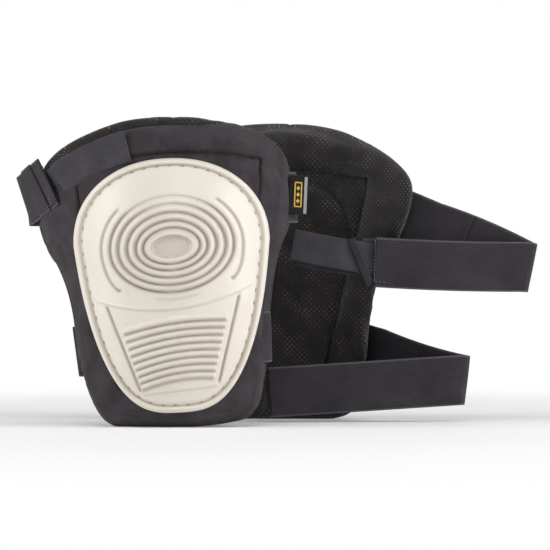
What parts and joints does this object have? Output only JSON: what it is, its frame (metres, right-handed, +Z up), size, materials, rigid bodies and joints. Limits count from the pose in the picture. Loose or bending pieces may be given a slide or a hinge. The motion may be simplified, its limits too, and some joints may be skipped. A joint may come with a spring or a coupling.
{
  "type": "knee pads",
  "caption": "Pair of wrap-around work knee pads: hard moulded caps sewn to padded fabric shells, with elastic straps that fold and fasten by hook tabs.",
  "frame": {"origin": "centre of the pair's footprint, at the surface the pads stand on", "axes": "+Z up; -Y is the side that the right pad's cap faces; +X is the side that the left pad's straps are drawn out to"},
  "size_m": [0.4118, 0.2052, 0.2398],
  "materials": {
    "cap_plastic": "satin moulded thermoplastic rubber, warm off-white",
    "cap_thread": "sewing thread, dark where it dips into the groove",
    "shell_fabric": "woven polyester, matt charcoal",
    "dark_thread": "sewing thread, black",
    "strap_thread": "sewing thread, grey",
    "lining_mesh": "brushed air mesh, brown-black with fine pale dots",
    "foam": "closed-cell foam, dark grey, sealed inside",
    "elastic": "knitted elastic webbing, matt black",
    "hook_tape": "woven hook tape, charcoal",
    "tag_fabric": "folded woven tag, black with a plain golden motif"
  },
  "bodies": {
    "right_pad": {"right_cap": "cap_plastic", "right_cap_stitching": "cap_thread", "right_cap_foam": "foam", "right_front_shell": "shell_fabric", "right_seam_thread": "dark_thread", "right_foam_core": "foam", "right_lining_panel": "lining_mesh", "right_bolster": "lining_mesh", "right_knee_cushion": "lining_mesh", "right_upper_strap_anchor": "elastic", "right_upper_strap_arm": "elastic", "right_lower_strap_anchor": "elastic", "right_lower_strap_arm": "elastic", "right_side_tag": "tag_fabric"},
    "right_upper_return": {"right_upper_strap_return": "elastic", "right_upper_tab_stitching": "strap_thread"},
    "right_upper_tab": {"right_upper_hook_tab": "hook_tape"},
    "right_lower_return": {"right_lower_strap_return": "elastic", "right_lower_tab_stitching": "strap_thread"},
    "right_lower_tab": {"right_lower_hook_tab": "hook_tape"},
    "left_pad": {"left_cap": "cap_plastic", "left_cap_stitching": "cap_thread", "left_cap_foam": "foam", "left_front_shell": "shell_fabric", "left_seam_thread": "dark_thread", "left_foam_core": "foam", "left_lining_panel": "lining_mesh", "left_bolster": "lining_mesh", "left_knee_cushion": "lining_mesh", "left_upper_strap_anchor": "elastic", "left_lower_strap_anchor": "elastic"},
    "left_upper_arm": {"left_upper_strap_arm": "elastic"},
    "left_upper_return": {"left_upper_strap_return": "elastic", "left_upper_tab_stitching": "strap_thread"},
    "left_upper_tab": {"left_upper_hook_tab": "hook_tape"},
    "left_lower_arm": {"left_lower_strap_arm": "elastic"},
    "left_lower_return": {"left_lower_strap_return": "elastic", "left_lower_tab_stitching": "strap_thread"},
    "left_lower_tab": {"left_lower_hook_tab": "hook_tape"}
  },
  "joints": [
    {"name": "pads_apart", "type": "slide", "parent": "right_pad", "child": "left_pad", "axis": [0, 1, 0], "range_m": [0, 0.2]},
    {"name": "right_upper_strap_fold", "type": "hinge", "parent": "right_pad", "child": "right_upper_return", "pos_m": [-0.20247, -0.005, 0.17659], "axis": [0.2215, 0, -0.9751], "range_deg": [0, 110]},
    {"name": "right_upper_tab_peel", "type": "hinge", "parent": "right_upper_return", "child": "right_upper_tab", "pos_m": [-0.18122, -0.0426, 0.19245], "axis": [0.2207, -0.1888, -0.9569], "range_deg": [0, 80]},
    {"name": "right_lower_strap_fold", "type": "hinge", "parent": "right_pad", "child": "right_lower_return", "pos_m": [-0.16398, -0.0133, 0.05703], "axis": [-0.0488, 0, 0.9988], "range_deg": [0, 160]},
    {"name": "right_lower_tab_peel", "type": "hinge", "parent": "right_lower_return", "child": "right_lower_tab", "pos_m": [-0.10506, -0.0076, 0.06001], "axis": [0.0488, 0, -0.9988], "range_deg": [0, 150]},
    {"name": "left_upper_strap_swing", "type": "hinge", "parent": "left_pad", "child": "left_upper_arm", "pos_m": [0.099, 0.0262, 0.1694], "axis": [0, 0, -1], "range_deg": [-5, 20]},
    {"name": "left_upper_strap_fold", "type": "hinge", "parent": "left_upper_arm", "child": "left_upper_return", "pos_m": [0.2006, 0.01055, 0.1251], "axis": [0.1908, 0, 0.9816], "range_deg": [0, 165]},
    {"name": "left_upper_tab_peel", "type": "hinge", "parent": "left_upper_return", "child": "left_upper_tab", "pos_m": [0.0716, 0.0034, 0.1299], "axis": [0, 0, 1], "range_deg": [0, 150]},
    {"name": "left_lower_strap_swing", "type": "hinge", "parent": "left_pad", "child": "left_lower_arm", "pos_m": [0.0731, 0.0536, 0.0584], "axis": [0, 0, -1], "range_deg": [-5, 20]},
    {"name": "left_lower_strap_fold", "type": "hinge", "parent": "left_lower_arm", "child": "left_lower_return", "pos_m": [0.1466, 0.0107, 0.0337], "axis": [0.1045, 0, 0.9945], "range_deg": [0, 160]},
    {"name": "left_lower_tab_peel", "type": "hinge", "parent": "left_lower_return", "child": "left_lower_tab", "pos_m": [-0.0091, 0.0084, 0.0235], "axis": [0, 0, 1], "range_deg": [0, 120]}
  ]
}
